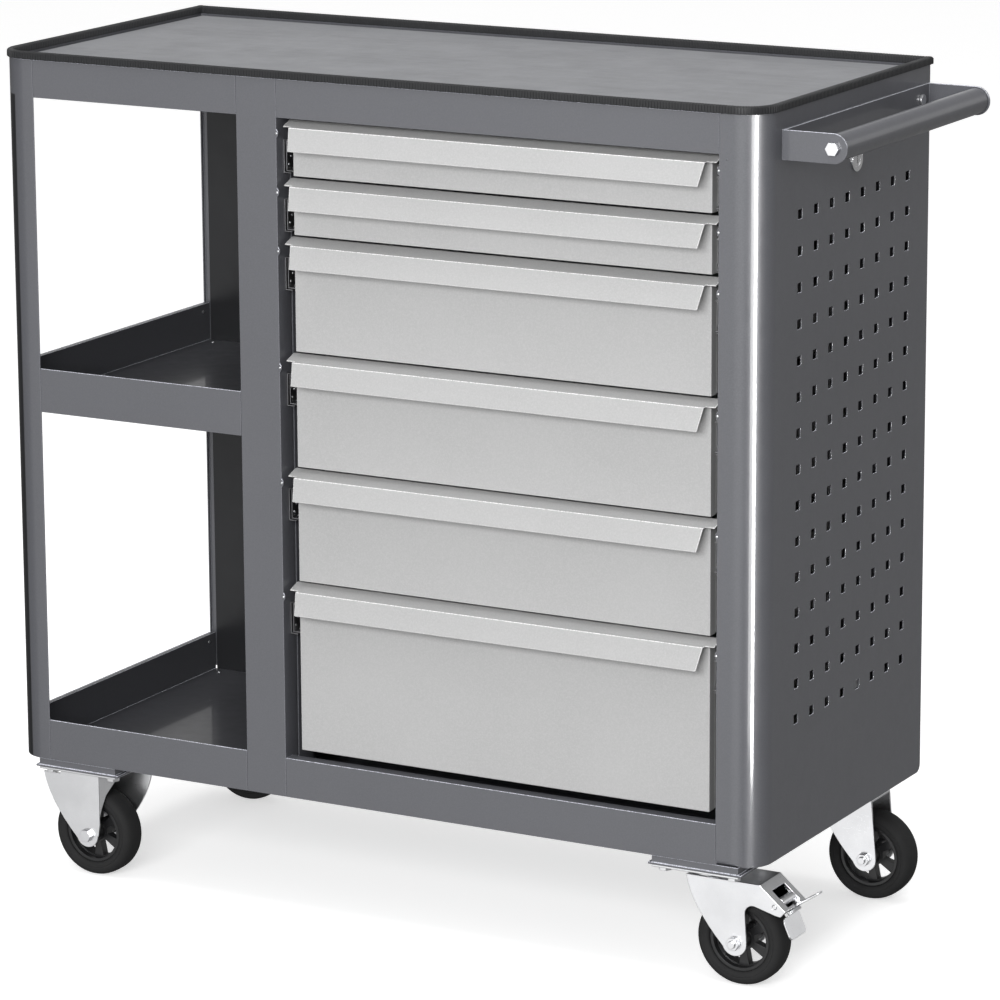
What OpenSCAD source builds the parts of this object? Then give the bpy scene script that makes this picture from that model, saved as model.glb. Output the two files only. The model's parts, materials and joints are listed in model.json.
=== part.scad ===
// Mobile tool cart: a steel cabinet with six drawers on the right, two open tray
// compartments on the left, a rubber-edged worktop, a push handle on the right side,
// and four casters: a fixed pair on the left and a swivelling pair on the right.
// Everything is drawn from the left side plane (x), the front plane (y) and the floor (z),
// in millimetres, and place() then puts the origin under the middle of the whole cart.

/* [Cabinet] */
// Width over the two side panels
body_w = 920; // [890:5:950]
// Depth from the front plane to the back plane
body_d = 410; // [405:5:430]
// Thickness of the cabinet's sheet metal
sheet = 1.5; // [1.2:0.1:1.8]
// Radius of the two rounded front corners
corner_r = 33; // [28:1:36]
// Height of the front rail under the drawers
bottom_rail_h = 44; // [40:1:50]
// Height of the front rail over the drawers
top_rail_h = 41.3; // [38:0.1:50]

/* [Front layout] */
// Width of the left front post
left_post_w = 45.2; // [42:0.1:50]
// Width of the opening of the tray compartments
tray_opening_w = 257.8; // [240:0.1:270]
// Width of the post between the compartments and the drawers
centre_post_w = 49.3; // [46:0.1:54]
// Width of the right front post
right_post_w = 49; // [44:1:52]
// Height of the middle tray's front rim
tray_rim_h = 48.8; // [40:0.1:55]
// Height of the bottom tray's front rim
bottom_rim_h = 45.9; // [40:0.1:50]
// Height of the middle tray's lower edge above the cabinet's lower edge
middle_tray_lift = 396.2; // [360:0.1:420]

/* [Drawers] */
// Height of one drawer unit
drawer_unit = 62.9; // [62:0.1:65]
// Thickness of the drawer sheet
drawer_sheet = 1.2; // [1:0.1:1.4]
// Room for a slide on each side of a drawer
slide_w = 13.2; // [13:0.1:13.5]
// Height of a slide
slide_h = 36; // [35:0.5:37]

/* [Worktop] */
// Height of the rubber edge trim
trim_h = 8.2; // [7.5:0.1:10]
// How far the trim stands out of the cabinet's faces
trim_proud = 2.5; // [1:0.1:3]
// Thickness of the rubber mat
mat_t = 2.2; // [1.5:0.1:3]

/* [Side panel] */
// Side of one square hole
hole_size = 10; // [8:0.5:12]
// Distance from one hole to the next
hole_pitch = 38; // [36:1:38]
// Number of hole columns
hole_columns = 8; // [4:1:8]
// Number of hole rows
hole_rows = 15; // [4:1:15]

/* [Push handle] */
// Distance from the side panel to the tube's axis
handle_reach = 57; // [45:1:80]
// Outer diameter of the tube
handle_tube_d = 28; // [24:1:29]
// Height of the bracket
handle_bracket_h = 31; // [31:1:36]

/* [Casters] */
// Diameter of a wheel
wheel_d = 100; // [96:1:101]
// Width of a tyre
tyre_w = 32; // [26:1:34]
// Height of a caster from the floor to the top of its plate
caster_h = 128; // [127:1:134]
// Height of the painted pad between a caster and the cabinet
pad_h = 10; // [8:1:14]
// How far a swivelling wheel trails behind its kingpin
trail = 38; // [34:1:40]

/* [Hidden] */
$fn = 64;

// Colours
paint = [0.36, 0.37, 0.39];
drawer_paint = [0.80, 0.80, 0.81];
rubber = [0.13, 0.14, 0.15];
mat_grey = [0.55, 0.56, 0.58];
zinc = [0.86, 0.87, 0.88];
slide_steel = [0.42, 0.43, 0.45];
hub_black = [0.10, 0.10, 0.11];

// Gap between sheets that meet without being one piece
seam = 0.2;

// Front plane, from left to right
tray_x0 = left_post_w;
tray_x1 = tray_x0 + tray_opening_w;
drawer_x0 = tray_x1 + centre_post_w;
drawer_x1 = body_w - right_post_w;

// Number of height units in the first n drawers, counted from the top
function units_down_to(n) = n < 1 ? 0 : drawer_units[n - 1] + units_down_to(n - 1);

// Heights, from the floor up
body_bottom = caster_h + pad_h;
rail_top = body_bottom + bottom_rail_h;
drawer_units = [1, 1, 2, 2, 2, 3];
drawer_count = len(drawer_units);
line_drop = 1.4;
lowest_line = rail_top - line_drop;
top_line = lowest_line + drawer_unit * units_down_to(drawer_count);
top_gap = 9.4;
opening_top = top_line + top_gap;
body_top = opening_top + top_rail_h;
trim_z = body_top + seam;
cart_top = trim_z + trim_h;
worktop_depth = 6.5;
worktop_floor_z = trim_z - worktop_depth;
inner_top = worktop_floor_z - seam;
rim_inset = sheet + seam;
trim_wall = 1.5;
mat_inset = rim_inset + sheet + trim_proud + seam;
middle_tray_z = body_bottom + middle_tray_lift;

// Returns behind the front posts, along the back and along the rails
post_return = 25;
rear_return = 20;
rail_return = 15;

// Rear panel, just inside the rear returns, and the plane that the inner sheets stop at
rear_panel_y1 = body_d - sheet - seam;
rear_panel_y0 = rear_panel_y1 - sheet;
inner_back = rear_panel_y0 - seam;

// Side windows of the left frame
window_y0 = 45;
window_y1 = body_d - 5;

// Trays: lift of the floor inside the rim, and distance of the side rim from the side plane
tray_floor_lift = 3.3;
tray_left_x = 5.5;

// Drawer section: the plate is set back, the band slopes forward, the lip overhangs
plate_y = 12;
box_front_y = 24;
band_front_y = 5.4;
band_back_y = box_front_y - 4;
band_rise = 5.5;
lip_top_y = -0.6;
lip_out_y = -10;
lip_drop = 24;
band_gap = 5.1;
lip_gap = 15.5;
lip_taper = 3.8;
drawer_lift = 9.3;
box_back_y = body_d - 18;
box_x0 = drawer_x0 + slide_w;
box_x1 = drawer_x1 - slide_w;

// Catches on the posts beside each drawer line
ear_r = 5.5;
ear_inset = 3.2;
ear_drop = 7.5;

// Slides: three nested channels with running gaps
slide_drop = 15.5;
slide_sheet = 1.2;
slide_gap = 0.6;
slide_y0 = 14;
slide_y1 = body_d - 16;
mid_y1 = slide_y1 - 4;
runner_y1 = slide_y1 - 6;
rail_depth = 9;
runner_depth = 8.8;
mid_half = slide_h / 2 - slide_sheet - slide_gap;
runner_half = mid_half - slide_sheet - slide_gap;

// Width over the flats of an M8 bolt head
m8_flats = 13;

// Push handle
handle_z = top_line + 16.4;
handle_y0 = 43;
handle_y1 = body_d - 6;
bracket_t = 2.5;
handle_x = body_w + handle_reach;
handle_bolt_r = 4;
handle_screw_y = [handle_y0 + 22, handle_y1 - 22];
screw_r = 3;
screw_bore_r = 3.2;

// Lock, and the bar that it lifts
lock_y = 222;
lock_z = top_line - 24.6;
lock_barrel_r = 9.5;
lock_bore_r = 6.5;
plug_r = 6.44;
cam_r = 9;
cam_pin_r = 2;
lock_bar_x = body_w - 34;
lock_bar_t = 2.5;
lock_bar_y0 = 233;
lock_bar_y1 = 247;

// Hole grid
grid_mid_y = 221.2;
grid_drop = 61.2;
grid_top_z = top_line - grid_drop;
first_hole_y = grid_mid_y - hole_pitch * (hole_columns - 1) / 2;

// Casters
wheel_r = wheel_d / 2;
caster_y = 43;
left_caster_x = 79.4;
kingpin_inset = 73.5;
right_caster_x = body_w - kingpin_inset;
plate_len = 100;
plate_depth = 84;
plate_t = 2.5;
plate_bottom = caster_h - plate_t;
bolt_dx = 40;
bolt_dy = 30;
bolt_r = 4;
bolt_bore_r = 4.3;
fork_out = 25.25;
fork_t = 2.5;
fork_in = fork_out - fork_t;
crown_h = 67.5;
crown_back = 56;
crown_top = wheel_r + crown_h;
leg_foot_r = 14;
bore_gap = 0.1;
axle_r = 6;
axle_bolt_r = 4;
hub_half = 22;
kingpin_r = 6;
kingpin_bore_r = 6.05;
hub_gap = 0.05;
rim_r = 34;
brake_x = 46;
brake_z = 46;
brake_pin_r = 2.5;
spoon_y = 6;
spoon_w = 10;

caster_spots = [[left_caster_x, caster_y], [left_caster_x, body_d - caster_y],
    [right_caster_x, caster_y], [right_caster_x, body_d - caster_y]];

// Box of the whole cart, which sets the origin
cart_x0 = -trim_proud;
cart_x1 = handle_x + handle_bracket_h / 2;
cart_y0 = lip_out_y;
cart_y1 = body_d + trim_proud;

module place() {
    translate([-(cart_x0 + cart_x1) / 2, -(cart_y0 + cart_y1) / 2, 0]) children();
}

// A block between two corners
module block(low, high) {
    translate(low) cube(high - low);
}

// A round bar along Y or along X
module bar_y(x, y0, y1, z, r) {
    translate([x, y0, z]) rotate([-90, 0, 0]) cylinder(h = y1 - y0, r = r);
}

module bar_x(x0, x1, y, z, r) {
    translate([x0, y, z]) rotate([0, 90, 0]) cylinder(h = x1 - x0, r = r);
}

// An XZ outline drawn out along Y, and a YZ outline drawn out along X
module along_y(y0, y1) {
    translate([0, y1, 0]) rotate([90, 0, 0]) linear_extrude(y1 - y0) children();
}

module along_x(x0, x1) {
    translate([x0, 0, 0]) rotate([90, 0, 90]) linear_extrude(x1 - x0) children();
}

// Plan of the cabinet pulled in by a distance: round front corners, square rear ones
module plan(inset) {
    translate([corner_r, inset]) square([body_w - 2 * corner_r, corner_r]);
    translate([inset, corner_r]) square([body_w - 2 * inset, body_d - inset - corner_r]);
    translate([corner_r, corner_r]) circle(corner_r - inset);
    translate([body_w - corner_r, corner_r]) circle(corner_r - inset);
}

// Height of the line under which a drawer's lip hangs, counted from the top
function line_z(n) = top_line - drawer_unit * units_down_to(n - 1);

// ---------------------------------------------------------------- cabinet shell

// Side outline: small radii at the two lower corners
module side_outline() {
    front_r = 6;
    rear_r = 9;
    translate([0, body_bottom + rear_r]) square([body_d, body_top - body_bottom - rear_r]);
    translate([front_r, body_bottom]) square([body_d - front_r - rear_r, rear_r]);
    translate([0, body_bottom + front_r]) square([front_r, rear_r]);
    translate([front_r, body_bottom + front_r]) circle(front_r);
    translate([body_d - rear_r, body_bottom + rear_r]) circle(rear_r);
}

// Sheet along the outer plan between two x values, with short rear returns only
module side_sheet(x0, x1, keep_x0, keep_x1) {
    intersection() {
        translate([0, 0, body_bottom]) linear_extrude(body_top - body_bottom) difference() {
            intersection() {
                plan(0);
                translate([x0, 0]) square([x1 - x0, body_d]);
            }
            plan(sheet);
            translate([keep_x0, body_d / 2]) square([keep_x1 - keep_x0, body_d]);
        }
        along_x(-1, body_w + 1) side_outline();
    }
}

module left_side_frame() {
    color(paint) place() difference() {
        side_sheet(0, left_post_w, rear_return, left_post_w + 1);
        block([-1, window_y0, body_bottom + bottom_rim_h], [sheet + 1, window_y1, middle_tray_z]);
        block([-1, window_y0, middle_tray_z + tray_rim_h], [sheet + 1, window_y1, opening_top]);
    }
}

module ear(x, z) {
    translate([x, z]) circle(ear_r);
}

module right_side_panel() {
    color(paint) place() difference() {
        union() {
            side_sheet(drawer_x1, body_w, drawer_x1 - 1, body_w - rear_return);
            block([drawer_x1, 0, body_bottom + seam], [drawer_x1 + sheet, post_return, inner_top]);
            along_y(0, sheet) for (n = [1 : drawer_count])
                ear(drawer_x1 + ear_inset, line_z(n) - ear_drop);
        }
        for (column = [0 : hole_columns - 1], row = [0 : hole_rows - 1])
            translate([body_w, first_hole_y + hole_pitch * column, grid_top_z - hole_pitch * row])
                cube([2 * sheet + 1, hole_size, hole_size], center = true);
        bar_x(body_w - 3, body_w + 3, lock_y, lock_z, lock_barrel_r + seam);
        for (y = handle_screw_y) bar_x(body_w - 3, body_w + 3, y, handle_z, screw_bore_r);
    }
}

module divider_panel() {
    color(paint) place() union() {
        block([tray_x1, 0, body_bottom], [tray_x1 + sheet, inner_back, inner_top]);
        along_y(0, sheet) {
            translate([tray_x1, body_bottom]) square([centre_post_w, body_top - body_bottom]);
            for (n = [1 : drawer_count]) ear(drawer_x0 - ear_inset, line_z(n) - ear_drop);
        }
        block([drawer_x0 - sheet, 0, body_bottom], [drawer_x0, post_return, inner_top]);
    }
}

module rear_panel() {
    edge = 8;
    foot = body_bottom + seam;
    color(paint) place()
        block([edge, rear_panel_y0, foot], [body_w - edge, rear_panel_y1, inner_top]);
}

// A front rail with a return along its upper and lower edges
module front_rail(x0, x1) {
    color(paint) place() union() {
        block([x0 + seam, 0, opening_top], [x1 - seam, sheet, body_top]);
        block([x0 + seam, 0, opening_top], [x1 - seam, rail_return, opening_top + sheet]);
        block([x0 + seam, 0, inner_top - sheet], [x1 - seam, rail_return, inner_top]);
    }
}

module cabinet_floor() {
    color(paint) place() union() {
        block([drawer_x0 + seam, 0, body_bottom], [drawer_x1 - seam, sheet, rail_top]);
        block([drawer_x0 + seam, 0, rail_top - sheet], [drawer_x1 - seam, rail_return, rail_top]);
        block([drawer_x0 + seam, 0, body_bottom], [drawer_x1 - seam, corner_r + 1, body_bottom + sheet]);
        block([tray_x1 + sheet + seam, corner_r + 1, body_bottom],
            [body_w - sheet - seam, inner_back, body_bottom + sheet]);
    }
}

// A tray between the left frame and the divider: floor, front rim and two side rims
module tray(z, rim_h, lift) {
    floor_z = z + lift;
    floor_top = floor_z + sheet;
    front_x0 = tray_x0 + seam;
    x1 = tray_x1 - seam;
    behind_post = corner_r + 3;
    rim_top = z + rim_h;
    right_rim_drop = 4;
    side_x1 = tray_left_x + sheet;
    color(paint) place() union() {
        block([front_x0, 0, z], [x1, sheet, rim_top]);
        block([front_x0, 0, floor_z], [x1, behind_post, floor_top]);
        block([tray_left_x, behind_post, floor_z], [x1, inner_back, floor_top]);
        block([tray_left_x, behind_post, floor_z], [side_x1, inner_back, rim_top]);
        block([sheet + seam, behind_post, rim_top - sheet], [side_x1, inner_back, rim_top]);
        block([x1 - sheet, 0, floor_z], [x1, inner_back, rim_top - right_rim_drop]);
    }
}

module middle_tray() {
    tray(middle_tray_z, tray_rim_h, tray_floor_lift);
}

module bottom_tray() {
    tray(body_bottom, bottom_rim_h, 0);
}

// ---------------------------------------------------------------- worktop

module worktop_tray() {
    rim_h = cart_top - trim_wall - worktop_floor_z;
    color(paint) place() difference() {
        translate([0, 0, worktop_floor_z]) linear_extrude(rim_h) plan(rim_inset);
        translate([0, 0, worktop_floor_z + sheet]) linear_extrude(rim_h) plan(rim_inset + sheet);
    }
}

module worktop_mat() {
    color(mat_grey) place()
        translate([0, 0, worktop_floor_z + sheet]) linear_extrude(mat_t) plan(mat_inset);
}

// Rubber profile over the rim, with a groove that the rim stands in
module edge_trim() {
    color(rubber) place() difference() {
        translate([0, 0, trim_z]) linear_extrude(trim_h) difference() {
            plan(-trim_proud);
            plan(rim_inset + sheet + trim_proud);
        }
        translate([0, 0, trim_z - 1]) linear_extrude(trim_h - trim_wall + 1) difference() {
            plan(rim_inset);
            plan(rim_inset + sheet);
        }
    }
}

// ---------------------------------------------------------------- slides and drawers

// A C channel along Y. Its web is at x, it opens towards dir, and z is its middle.
module channel(x, dir, depth, half_h, y0, y1, z) {
    web_x = dir > 0 ? x : x - slide_sheet;
    arm_x = dir > 0 ? x : x - depth;
    block([web_x, y0, z - half_h], [web_x + slide_sheet, y1, z + half_h]);
    block([arm_x, y0, z + half_h - slide_sheet], [arm_x + depth, y1, z + half_h]);
    block([arm_x, y0, z - half_h], [arm_x + depth, y1, z - half_h + slide_sheet]);
}

function slide_z(n) = line_z(n) - slide_drop - slide_h / 2;

module cabinet_rails() {
    color(slide_steel) place() for (n = [1 : drawer_count]) {
        union() channel(drawer_x0, 1, rail_depth, slide_h / 2, slide_y0, slide_y1, slide_z(n));
        union() channel(drawer_x1, -1, rail_depth, slide_h / 2, slide_y0, slide_y1, slide_z(n));
    }
}

module mid_rails(n) {
    color(slide_steel) place() {
        union() channel(drawer_x0 + 2, 1, rail_depth, mid_half, slide_y0 + 2, mid_y1, slide_z(n));
        union() channel(drawer_x1 - 2, -1, rail_depth, mid_half, slide_y0 + 2, mid_y1, slide_z(n));
    }
}

module slide_uprights() {
    depth = 33;
    width = 30;
    foot = body_bottom + sheet;
    top = inner_top - 3;
    rear_y = body_d - 80;
    color(paint) place() for (y = [post_return + 3, rear_y]) {
        union() {
            block([drawer_x1, y, foot], [drawer_x1 + sheet, y + width, top]);
            block([drawer_x1, y, foot], [drawer_x1 + depth, y + sheet, top]);
            block([drawer_x1, y + width - sheet, foot], [drawer_x1 + depth, y + width, top]);
        }
        union() {
            block([drawer_x0 - sheet, y, foot], [drawer_x0, y + width, top]);
            block([drawer_x0 - depth, y, foot], [drawer_x0, y + sheet, top]);
            block([drawer_x0 - depth, y + width - sheet, foot], [drawer_x0, y + width, top]);
        }
    }
}

// Sloping band under the drawer line, and its flat strip at the back
module band_outline(z) {
    top = z + band_rise;
    polygon([[box_front_y, top], [band_back_y, top], [band_front_y, z], [band_front_y, z - drawer_sheet],
        [band_back_y, top - drawer_sheet], [box_front_y, top - drawer_sheet]]);
}

// Grip lip: a short ledge, then a sheet that hangs down and outward
module lip_outline(z) {
    lean = atan2(lip_top_y - lip_out_y, lip_drop);
    step_y = drawer_sheet * cos(lean);
    step_z = drawer_sheet * sin(lean);
    inner_y = lip_top_y + step_y - (drawer_sheet - step_z) * tan(lean);
    polygon([[band_front_y, z], [lip_top_y, z], [lip_out_y, z - lip_drop],
        [lip_out_y + step_y, z - lip_drop - step_z], [inner_y, z - drawer_sheet],
        [band_front_y, z - drawer_sheet]]);
}

module drawer_front(n) {
    z = line_z(n);
    bottom = line_z(n + 1) + drawer_lift;
    band_slope = band_rise / (band_back_y - band_front_y);
    plate_top = z + band_slope * (plate_y + drawer_sheet - band_front_y) - drawer_sheet;
    lip_x0 = drawer_x0 + lip_gap;
    lip_x1 = drawer_x1 - lip_gap;
    lip_foot = z - lip_drop - 1;
    color(drawer_paint) place() union() {
        along_x(drawer_x0 + band_gap, drawer_x1 - band_gap) band_outline(z);
        intersection() {
            along_x(drawer_x0, drawer_x1) lip_outline(z);
            along_y(2 * lip_out_y, 2 * band_front_y)
                polygon([[lip_x0, z + 1], [lip_x0, z], [lip_x0 + lip_taper, lip_foot],
                    [lip_x1 - lip_taper, lip_foot], [lip_x1, z], [lip_x1, z + 1]]);
        }
        block([box_x0, plate_y, bottom], [box_x1, plate_y + drawer_sheet, plate_top]);
        block([box_x0, plate_y, bottom], [box_x1, box_front_y, bottom + drawer_sheet]);
        for (x = [box_x0, box_x1 - drawer_sheet])
            block([x, plate_y, bottom], [x + drawer_sheet, box_front_y, plate_top]);
    }
}

module drawer_box(n) {
    top = line_z(n) - 6;
    bottom = line_z(n + 1) + drawer_lift + drawer_sheet;
    z = slide_z(n);
    color(drawer_paint) place() {
        difference() {
            block([box_x0, box_front_y, bottom], [box_x1, box_back_y, top]);
            block([box_x0 + drawer_sheet, box_front_y + drawer_sheet, bottom + drawer_sheet],
                [box_x1 - drawer_sheet, box_back_y - drawer_sheet, top + 1]);
        }
        union() channel(box_x0, -1, runner_depth, runner_half, box_front_y, runner_y1, z);
        union() channel(box_x1, 1, runner_depth, runner_half, box_front_y, runner_y1, z);
    }
}

// ---------------------------------------------------------------- push handle and lock

module bracket_arm(y) {
    half = handle_bracket_h / 2;
    difference() {
        union() {
            block([body_w, y, handle_z - half], [handle_x, y + bracket_t, handle_z + half]);
            bar_y(handle_x, y, y + bracket_t, handle_z, half);
        }
        bar_y(handle_x, y - 1, y + bracket_t + 1, handle_z, handle_bolt_r + seam);
    }
}

module handle_bracket() {
    half = handle_bracket_h / 2;
    color(paint) place() union() {
        difference() {
            block([body_w, handle_y0, handle_z - half], [body_w + bracket_t, handle_y1, handle_z + half]);
            for (y = handle_screw_y) bar_x(body_w - 1, body_w + bracket_t + 1, y, handle_z, screw_bore_r);
        }
        bracket_arm(handle_y0);
        bracket_arm(handle_y1 - bracket_t);
    }
}

// Tube with a solid, threaded plug at each end
module handle_tube() {
    y0 = handle_y0 + bracket_t;
    y1 = handle_y1 - bracket_t;
    plug = 22;
    color(paint) place() difference() {
        bar_y(handle_x, y0, y1, handle_z, handle_tube_d / 2);
        bar_y(handle_x, y0 + plug, y1 - plug, handle_z, handle_tube_d / 2 - 2);
        bar_y(handle_x, y0 - 1, y1 + 1, handle_z, handle_bolt_r);
    }
}

module hex_y(x, y0, y1, z, flats) {
    translate([x, y0, z]) rotate([-90, 0, 0]) cylinder(h = y1 - y0, r = flats / 2 / cos(30), $fn = 6);
}

module handle_bolts() {
    head = 5;
    shank = 20;
    screw_head = 3;
    screw_len = 9;
    nut_h = 5;
    color(zinc) place() {
        union() {
            hex_y(handle_x, handle_y0 - head, handle_y0, handle_z, m8_flats);
            bar_y(handle_x, handle_y0, handle_y0 + shank, handle_z, handle_bolt_r);
        }
        union() {
            hex_y(handle_x, handle_y1, handle_y1 + head, handle_z, m8_flats);
            bar_y(handle_x, handle_y1 - shank, handle_y1, handle_z, handle_bolt_r);
        }
        for (y = handle_screw_y) union() {
            bar_x(body_w + bracket_t, body_w + bracket_t + screw_head, y, handle_z, 2 * screw_r);
            bar_x(body_w - screw_len, body_w + bracket_t, y, handle_z, screw_r);
            translate([body_w - sheet - nut_h, y, handle_z]) rotate([0, 90, 0])
                cylinder(h = nut_h, r = 5.8, $fn = 6);
        }
    }
}

module lock_housing() {
    color(zinc) place() difference() {
        union() {
            bar_x(body_w, body_w + 2.5, lock_y, lock_z, 12.5);
            bar_x(body_w - 22, body_w, lock_y, lock_z, lock_barrel_r);
        }
        bar_x(body_w - 30, body_w + 5, lock_y, lock_z, lock_bore_r);
    }
}

// Turning plug with a key slot, and the crank pin that lifts the bar
module lock_plug() {
    cam_x = body_w - 26;
    cam_half = 4;
    slot_half = 0.8;
    color(zinc) place() union() {
        difference() {
            bar_x(cam_x, body_w + 2, lock_y, lock_z, plug_r);
            block([body_w - 6, lock_y - slot_half, lock_z - cam_half],
                [body_w + 3, lock_y + slot_half, lock_z + cam_half]);
        }
        block([cam_x - 3, lock_y - cam_half, lock_z - cam_half],
            [cam_x, lock_y + cam_r + cam_half, lock_z + cam_half]);
        bar_x(lock_bar_x - 2, cam_x, lock_y + cam_r, lock_z, cam_pin_r);
    }
}

// Upright bar with a hook behind each drawer, and a plate with a slot for the crank pin
module lock_bar() {
    head_h = 14;
    slot_half = cam_pin_r + 2.3;
    slot_end = cam_pin_r + 1;
    hook = 12;
    foot = lowest_line + 60;
    x0 = lock_bar_x;
    x1 = lock_bar_x + lock_bar_t;
    color(slide_steel) place() difference() {
        union() {
            block([x0, lock_bar_y0, foot], [x1, lock_bar_y1, lock_z + head_h]);
            block([x0, lock_y - 9, lock_z - head_h], [x1, lock_bar_y1, lock_z + head_h]);
            for (n = [1 : drawer_count])
                block([x0 - hook, lock_bar_y0, slide_z(n) - 2], [x1, lock_bar_y1, slide_z(n) + 2]);
        }
        block([x0 - 1, lock_y - slot_end, lock_z - slot_half],
            [x1 + 1, lock_y + cam_r + slot_end, lock_z + slot_half]);
    }
}

// Two brackets on the side panel that the bar slides in
module lock_guides() {
    room = 0.6;
    wall = 3;
    height = 10;
    x0 = lock_bar_x - room;
    color(slide_steel) place() for (z = [line_z(2) - 62, line_z(6) - 95]) difference() {
        block([x0 - wall, lock_bar_y0 - wall - room, z],
            [body_w - sheet, lock_bar_y1 + wall + room, z + height]);
        block([x0, lock_bar_y0 - room, z - 1],
            [lock_bar_x + lock_bar_t + room, lock_bar_y1 + room, z + height + 1]);
    }
}

// ---------------------------------------------------------------- casters

module at_bolts() {
    for (dx = [-bolt_dx, bolt_dx], dy = [-bolt_dy, bolt_dy]) translate([dx, dy, 0]) children();
}

// Painted channel under the floor with a thin, slightly longer flange below it
module caster_pads() {
    lip = 2.5;
    half_len = plate_len / 2;
    half_depth = plate_depth / 2;
    color(paint) place() for (spot = caster_spots) translate([spot[0], spot[1], 0]) difference() {
        union() {
            block([-half_len, -half_depth, caster_h], [half_len, half_depth, body_bottom]);
            block([-half_len - 4, -half_depth - 1, caster_h], [half_len + 4, half_depth + 1, caster_h + lip]);
        }
        at_bolts() translate([0, 0, caster_h - 1]) cylinder(h = pad_h + 2, r = bolt_bore_r);
    }
}

module caster_bolts() {
    head_h = 5;
    color(zinc) place() for (spot = caster_spots) translate([spot[0], spot[1], 0]) at_bolts() union() {
        translate([0, 0, plate_bottom - head_h]) cylinder(h = head_h, r = m8_flats / 2 / cos(30), $fn = 6);
        translate([0, 0, plate_bottom]) cylinder(h = body_bottom - plate_bottom, r = bolt_r);
    }
}

module plate() {
    difference() {
        block([-plate_len / 2, -plate_depth / 2, plate_bottom], [plate_len / 2, plate_depth / 2, caster_h]);
        at_bolts() translate([0, 0, plate_bottom - 1]) cylinder(h = plate_t + 2, r = bolt_bore_r);
    }
}

// Curved edge of a fork's leg, from its upper corner round to the axle
function bend_point(a, b, c, t) = (1 - t) * (1 - t) * a + 2 * t * (1 - t) * b + t * t * c;
function bend(a, b, c) = [for (i = [0 : 8]) bend_point(a, b, c, i / 8)];

// Wide side of a leg, measured from the axle
leg_edge = bend([-crown_back, crown_h], [-50, 34], [-13, -5]);

// Leg of a fixed fork: a wide wing on one side, and a stub wing bent inward on the other
module fixed_leg() {
    top = plate_bottom - wheel_r + plate_t / 2;
    plate_root_x = -30;
    fold_x = 17;
    fold_angle = 38;
    wing = 21;
    straight_edge = [[0, 0], [leg_foot_r + 1, 0], [fold_x, leg_foot_r], [fold_x, top]];
    wing_edge = [[0, leg_foot_r + 4], [3.5, 33], [8.5, 48], [wing, crown_h - 0.5],
        [wing, top - 4], [wing - 6, top]];
    difference() {
        union() {
            along_y(-fork_out, -fork_in) {
                polygon(concat([[plate_root_x, top], [plate_root_x - 4, crown_h]], leg_edge, straight_edge));
                circle(leg_foot_r);
            }
            translate([fold_x - 0.5, seam - fork_out, 0]) rotate([0, 0, fold_angle]) along_y(0, fork_t)
                polygon(concat(wing_edge, [[0, top]]));
        }
        bar_y(0, -fork_out - 1, -fork_in + 1, 0, axle_bolt_r + bore_gap);
    }
}

module fixed_forks() {
    color(zinc) place() for (i = [0, 1]) translate([caster_spots[i][0], caster_spots[i][1], 0]) union() {
        plate();
        for (turn = [0, 180]) rotate([0, 0, turn]) translate([0, 0, wheel_r]) fixed_leg();
    }
}

// Axle bolt with its sleeve, along Y through a wheel's centre; nut_side is -1 or 1
module axle(nut_side) {
    end = fork_out + 5.5;
    tail = 3;
    union() {
        bar_y(0, -end, end, 0, axle_bolt_r);
        bar_y(0, bore_gap - fork_in, fork_in - bore_gap, 0, axle_r);
        hex_y(0, -end, -fork_out, 0, m8_flats);
        hex_y(0, fork_out, end, 0, m8_flats);
        bar_y(0, nut_side > 0 ? end : -end - tail, nut_side > 0 ? end + tail : -end, 0, axle_bolt_r);
    }
}

module fixed_axles() {
    color(zinc) place() for (i = [0, 1])
        translate([caster_spots[i][0], caster_spots[i][1], wheel_r]) axle(1);
}

// Plate of a swivelling caster with its ball race
module swivel_plates() {
    race_r = 24;
    race_z = crown_top + 0.4;
    color(zinc) place() for (i = [2, 3]) translate([caster_spots[i][0], caster_spots[i][1], 0]) difference() {
        union() {
            plate();
            translate([0, 0, race_z]) cylinder(h = plate_bottom - race_z, r = race_r);
        }
        translate([0, 0, crown_top]) cylinder(h = 2 * pad_h, r = kingpin_r);
    }
}

module kingpins() {
    under = crown_top - fork_t;
    head_r = 9.5;
    head_h = 6;
    head_gap = 0.3;
    foot = under - head_h;
    color(zinc) place() for (i = [2, 3]) translate([caster_spots[i][0], caster_spots[i][1], 0]) union() {
        translate([0, 0, foot]) cylinder(h = caster_h - foot, r = kingpin_r);
        translate([0, 0, foot]) cylinder(h = head_h - head_gap, r = head_r);
    }
}

// Brake housing on the front fork: two corners of its sloping plate, from the axle
slope_a = [29, crown_h];
slope_b = [58.8, 42.6];

// Leg outline of a swivelling fork, measured from the axle
module swivel_leg_outline(braked) {
    throat_r = 9.5;
    throat = [for (a = [180 : -15 : 75]) [21.5 + throat_r * cos(a), 34 + throat_r * sin(a)]];
    plain_edge = [[leg_foot_r, 2], [11.5, 30], [8, crown_h]];
    chin = [[47, 36.8], [53, 36], slope_b, slope_a];
    polygon(concat(leg_edge, [[0, 0]], braked ? concat([[leg_foot_r, 2]], throat, chin) : plain_edge));
    circle(leg_foot_r);
}

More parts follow.
